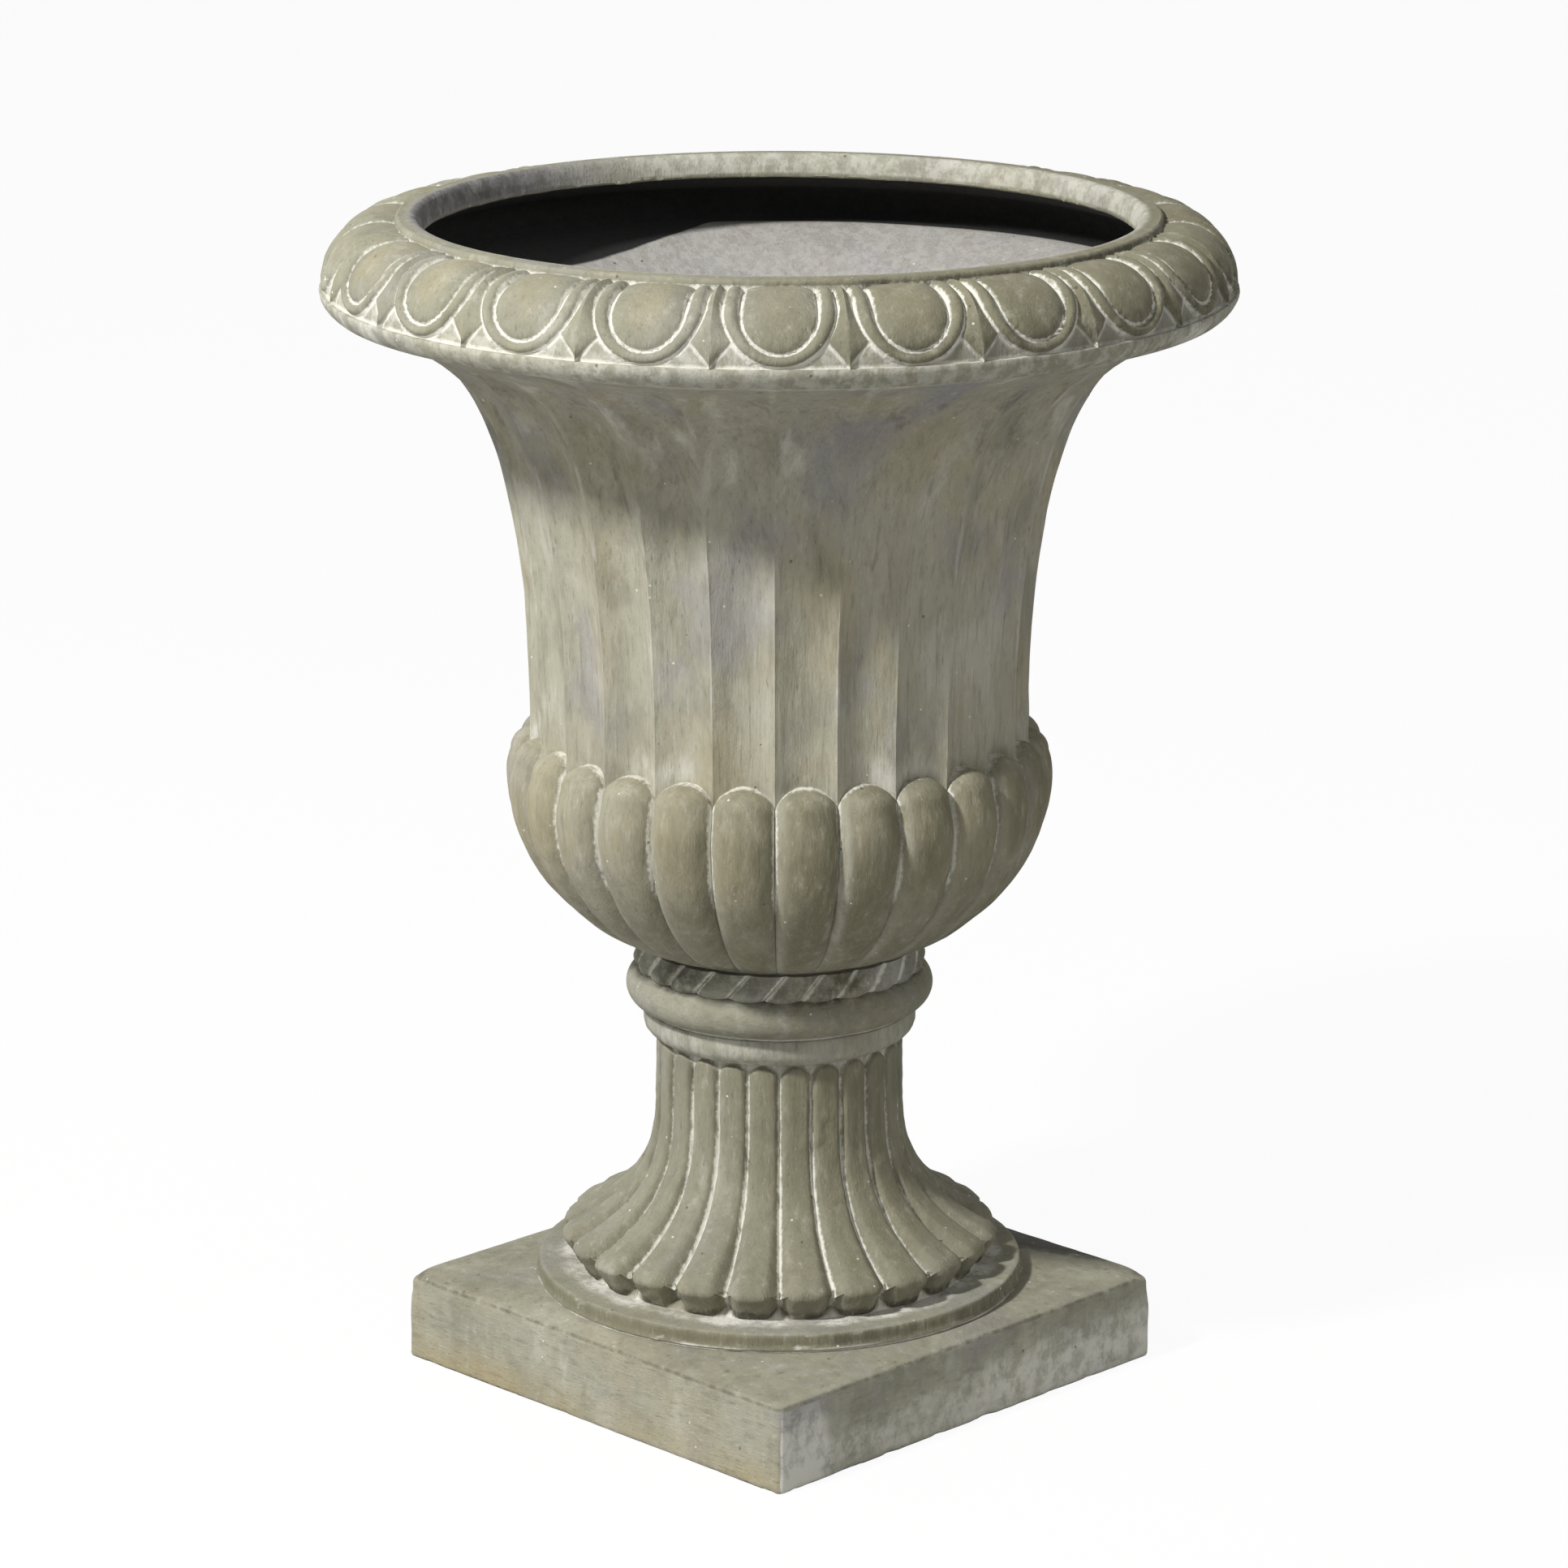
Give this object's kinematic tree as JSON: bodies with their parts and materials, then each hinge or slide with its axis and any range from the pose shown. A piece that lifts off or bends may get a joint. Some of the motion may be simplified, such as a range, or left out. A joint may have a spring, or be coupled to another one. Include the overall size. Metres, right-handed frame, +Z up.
{
  "type": "pedestal garden urn planter",
  "caption": "Classical garden urn planter: egg-and-dart rim, fluted bell and gadrooned belly on a rope collar, reeded foot and square plinth, with a pull-out drain plug.",
  "frame": {"origin": "centre of the plinth's underside, on the floor", "axes": "+Z up along the urn's axis, +X and +Y square to the plinth's sides"},
  "size_m": [0.5, 0.5, 0.66],
  "materials": {
    "plinth_stone": "matt cast stone",
    "pedestal_stone": "matt cast stone",
    "collar_stone": "matt cast stone",
    "bowl_stone": "matt cast stone",
    "rim_stone": "matt cast stone",
    "mortar": "pale lime mortar",
    "hoop_steel": "hot rolled steel bar",
    "galvanised_steel": "galvanised",
    "gasket_rubber": "matt rubber",
    "plug_rubber": "moulded rubber",
    "sleeve_plastic": "grey pvc pipe"
  },
  "bodies": {
    "urn": {"plinth": "plinth_stone", "plinth_bedding": "mortar", "pedestal": "pedestal_stone", "collar_bedding": "mortar", "rope_collar": "collar_stone", "bowl_bedding": "mortar", "bowl": "bowl_stone", "rim_bedding": "mortar", "rim": "rim_stone", "rim_hoop": "hoop_steel", "tie_rod": "galvanised_steel", "bowl_gasket": "gasket_rubber", "bowl_washer": "galvanised_steel", "bowl_nut": "galvanised_steel", "base_washer": "galvanised_steel", "base_nut": "galvanised_steel", "drain_sleeve": "sleeve_plastic"},
    "plug": {"drain_plug": "plug_rubber"}
  },
  "joints": [
    {"name": "plug_lift", "type": "slide", "parent": "urn", "child": "plug", "axis": [0, 0, 1], "range_m": [0, 0.05]}
  ]
}
